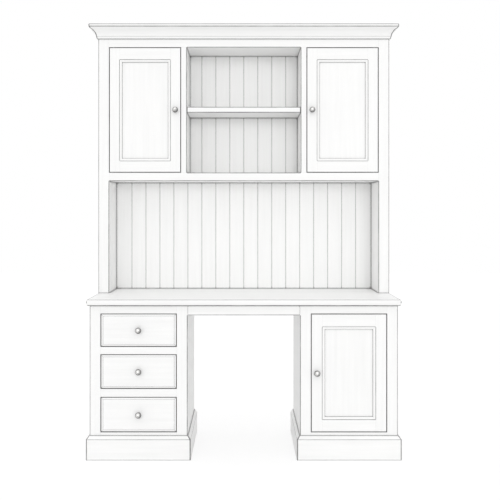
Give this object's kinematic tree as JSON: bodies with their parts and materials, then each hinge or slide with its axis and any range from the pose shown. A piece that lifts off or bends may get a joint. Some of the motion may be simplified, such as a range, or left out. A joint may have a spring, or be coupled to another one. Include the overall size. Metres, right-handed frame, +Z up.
{
  "type": "student desk with hutch",
  "caption": "White painted double-pedestal writing desk with drawers, a cupboard and a bookcase hutch with panelled doors, boarded back and cornice.",
  "frame": {"origin": "on the floor, under the middle of the whole object's box", "axes": "+X to the right seen from the front, +Y to the back, +Z up"},
  "size_m": [1.578, 0.618, 2.135],
  "materials": {
    "white_paint": "satin white paint",
    "bare_wood": "clear varnish",
    "knob_metal": "polished nickel",
    "steel": "zinc plated",
    "catch_plastic": "moulded"
  },
  "bodies": {
    "carcass": {"hutch_dowels": "bare_wood", "left_face_frame": "white_paint", "right_face_frame": "white_paint", "left_inner_side": "white_paint", "left_outer_side": "white_paint", "right_inner_side": "white_paint", "right_outer_side": "white_paint", "pedestal_back_panels": "white_paint", "pedestal_floor_panels": "white_paint", "left_plinth": "white_paint", "right_plinth": "white_paint", "drawer_runners": "bare_wood", "kneehole_rails": "white_paint", "top_fixing_rails": "bare_wood", "top_fixing_screws": "steel", "desk_top": "white_paint", "hutch_face_frame": "white_paint", "hutch_back_boards": "white_paint", "hutch_soffit": "white_paint", "hutch_centre_shelf": "white_paint", "hutch_left_side": "white_paint", "hutch_right_side": "white_paint", "hutch_floor": "white_paint", "hutch_top_board": "white_paint", "hutch_partitions": "white_paint", "hutch_side_linings": "white_paint", "hutch_side_battens": "bare_wood", "hutch_dust_cover": "white_paint", "cornice": "white_paint", "adjustable_shelves": "white_paint", "shelf_pegs": "steel", "pivot_bushes": "steel", "door_catches": "catch_plastic"},
    "upper_drawer": {"upper_drawer_knob": "knob_metal", "upper_drawer_front": "white_paint", "upper_drawer_box": "bare_wood", "upper_drawer_bottom": "bare_wood"},
    "middle_drawer": {"middle_drawer_knob": "knob_metal", "middle_drawer_front": "white_paint", "middle_drawer_box": "bare_wood", "middle_drawer_bottom": "bare_wood"},
    "lower_drawer": {"lower_drawer_knob": "knob_metal", "lower_drawer_front": "white_paint", "lower_drawer_box": "bare_wood", "lower_drawer_bottom": "bare_wood"},
    "hutch_left_door": {"hutch_left_door_knob": "knob_metal", "hutch_left_door_frame": "white_paint", "hutch_left_door_panel": "white_paint", "hutch_left_door_beads": "white_paint", "hutch_left_door_fittings": "steel"},
    "hutch_right_door": {"hutch_right_door_knob": "knob_metal", "hutch_right_door_frame": "white_paint", "hutch_right_door_panel": "white_paint", "hutch_right_door_beads": "white_paint", "hutch_right_door_fittings": "steel"},
    "cupboard_door": {"cupboard_door_knob": "knob_metal", "cupboard_door_frame": "white_paint", "cupboard_door_panel": "white_paint", "cupboard_door_beads": "white_paint", "cupboard_door_fittings": "steel"}
  },
  "joints": [
    {"name": "upper_drawer_slide", "type": "slide", "parent": "carcass", "child": "upper_drawer", "axis": [0, -1, 0], "range_m": [0, 0.36]},
    {"name": "middle_drawer_slide", "type": "slide", "parent": "carcass", "child": "middle_drawer", "axis": [0, -1, 0], "range_m": [0, 0.36]},
    {"name": "lower_drawer_slide", "type": "slide", "parent": "carcass", "child": "lower_drawer", "axis": [0, -1, 0], "range_m": [0, 0.36]},
    {"name": "hutch_left_door_hinge", "type": "hinge", "parent": "carcass", "child": "hutch_left_door", "pos_m": [-0.6675, 0.0505, 1.7005], "axis": [0, 0, -1], "range_deg": [0, 105]},
    {"name": "hutch_right_door_hinge", "type": "hinge", "parent": "carcass", "child": "hutch_right_door", "pos_m": [0.6675, 0.0505, 1.7005], "axis": [0, 0, 1], "range_deg": [0, 105]},
    {"name": "cupboard_door_hinge", "type": "hinge", "parent": "carcass", "child": "cupboard_door", "pos_m": [0.6595, -0.2675, 0.412], "axis": [0, 0, 1], "range_deg": [0, 105]}
  ]
}
